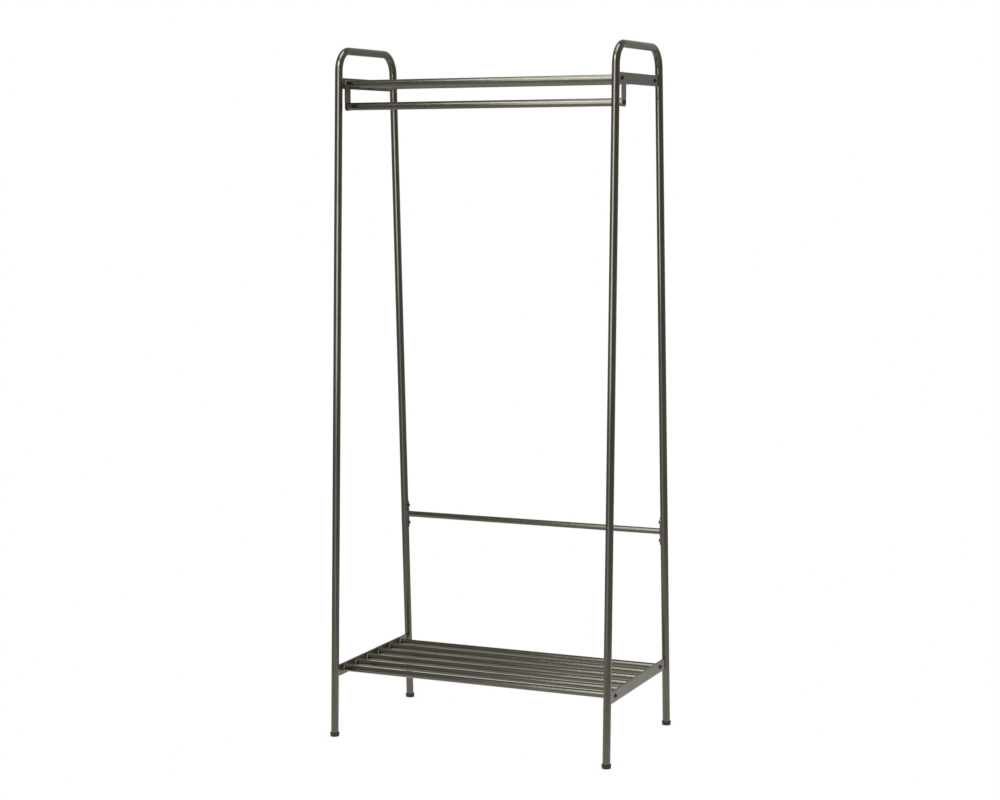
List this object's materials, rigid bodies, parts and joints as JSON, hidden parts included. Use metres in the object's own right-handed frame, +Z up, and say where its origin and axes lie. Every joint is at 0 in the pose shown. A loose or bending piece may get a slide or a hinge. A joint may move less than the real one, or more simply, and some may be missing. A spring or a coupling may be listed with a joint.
{
  "type": "valet stand",
  "caption": "Metal valet stand with two A-shaped tube side frames, a hanging rail, an upper and a lower tube shelf and a rear brace.",
  "frame": {"origin": "on the floor, at the centre of the four feet", "axes": "+X to the stand's right as seen from the front, +Y to the back (the brace side), +Z up"},
  "size_m": [0.79, 0.4692, 1.8],
  "materials": {
    "frame_tube": "satin gunmetal metallic lacquer",
    "flat_bar": "satin gunmetal metallic lacquer",
    "fastener": "black, semi-gloss",
    "insert": "zinc plated, hidden inside the tubes",
    "foot_cap": "moulded matte black"
  },
  "bodies": {
    "root": {"left_side_tube": "frame_tube", "right_side_tube": "frame_tube", "left_upper_rung": "flat_bar", "right_upper_rung": "flat_bar", "left_lower_rung": "flat_bar", "right_lower_rung": "flat_bar", "left_rail_arm": "flat_bar", "right_rail_arm": "flat_bar", "front_left_foot": "foot_cap", "rear_left_foot": "foot_cap", "front_right_foot": "foot_cap", "rear_right_foot": "foot_cap", "upper_shelf_left_plate": "flat_bar", "upper_shelf_right_plate": "flat_bar", "upper_shelf_tube_1": "frame_tube", "upper_shelf_tube_2": "frame_tube", "upper_shelf_tube_3": "frame_tube", "upper_shelf_tube_4": "frame_tube", "upper_shelf_inserts": "insert", "upper_shelf_bolts": "fastener", "lower_shelf_left_plate": "flat_bar", "lower_shelf_right_plate": "flat_bar", "lower_shelf_tube_1": "frame_tube", "lower_shelf_tube_2": "frame_tube", "lower_shelf_tube_3": "frame_tube", "lower_shelf_tube_4": "frame_tube", "lower_shelf_tube_5": "frame_tube", "lower_shelf_tube_6": "frame_tube", "lower_shelf_inserts": "insert", "lower_shelf_bolts": "fastener", "hanging_rail": "frame_tube", "hanging_rail_inserts": "insert", "hanging_rail_bolts": "fastener", "rear_brace_tube": "frame_tube", "rear_brace_left_plate": "flat_bar", "rear_brace_right_plate": "flat_bar", "rear_brace_screws": "fastener"}
  },
  "joints": []
}
